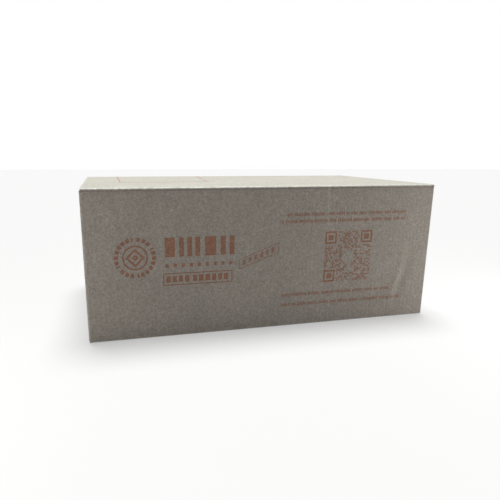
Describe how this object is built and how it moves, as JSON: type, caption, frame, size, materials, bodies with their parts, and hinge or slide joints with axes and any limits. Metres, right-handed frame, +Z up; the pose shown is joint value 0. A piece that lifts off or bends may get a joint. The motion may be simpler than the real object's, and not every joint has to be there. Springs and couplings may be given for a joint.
{
  "type": "corrugated box",
  "caption": "Shut carton of thin kraft corrugated board, printed on the front, with a glued base and a lid that is creased along the front edge and tucks in behind the back wall.",
  "frame": {"origin": "middle of the underside", "axes": "+X to the right along the printed front, +Y from the front to the back, +Z up"},
  "size_m": [0.3, 0.175, 0.12],
  "materials": {
    "kraft_board": "matte",
    "print_ink": "matte"
  },
  "bodies": {
    "tray": {"tray": "kraft_board"},
    "lid": {"lid": "kraft_board"}
  },
  "joints": [
    {"name": "lid_crease", "type": "hinge", "parent": "tray", "child": "lid", "pos_m": [0, -0.08718, 0.11968], "axis": [1, 0, 0], "range_deg": [0, 220]}
  ]
}
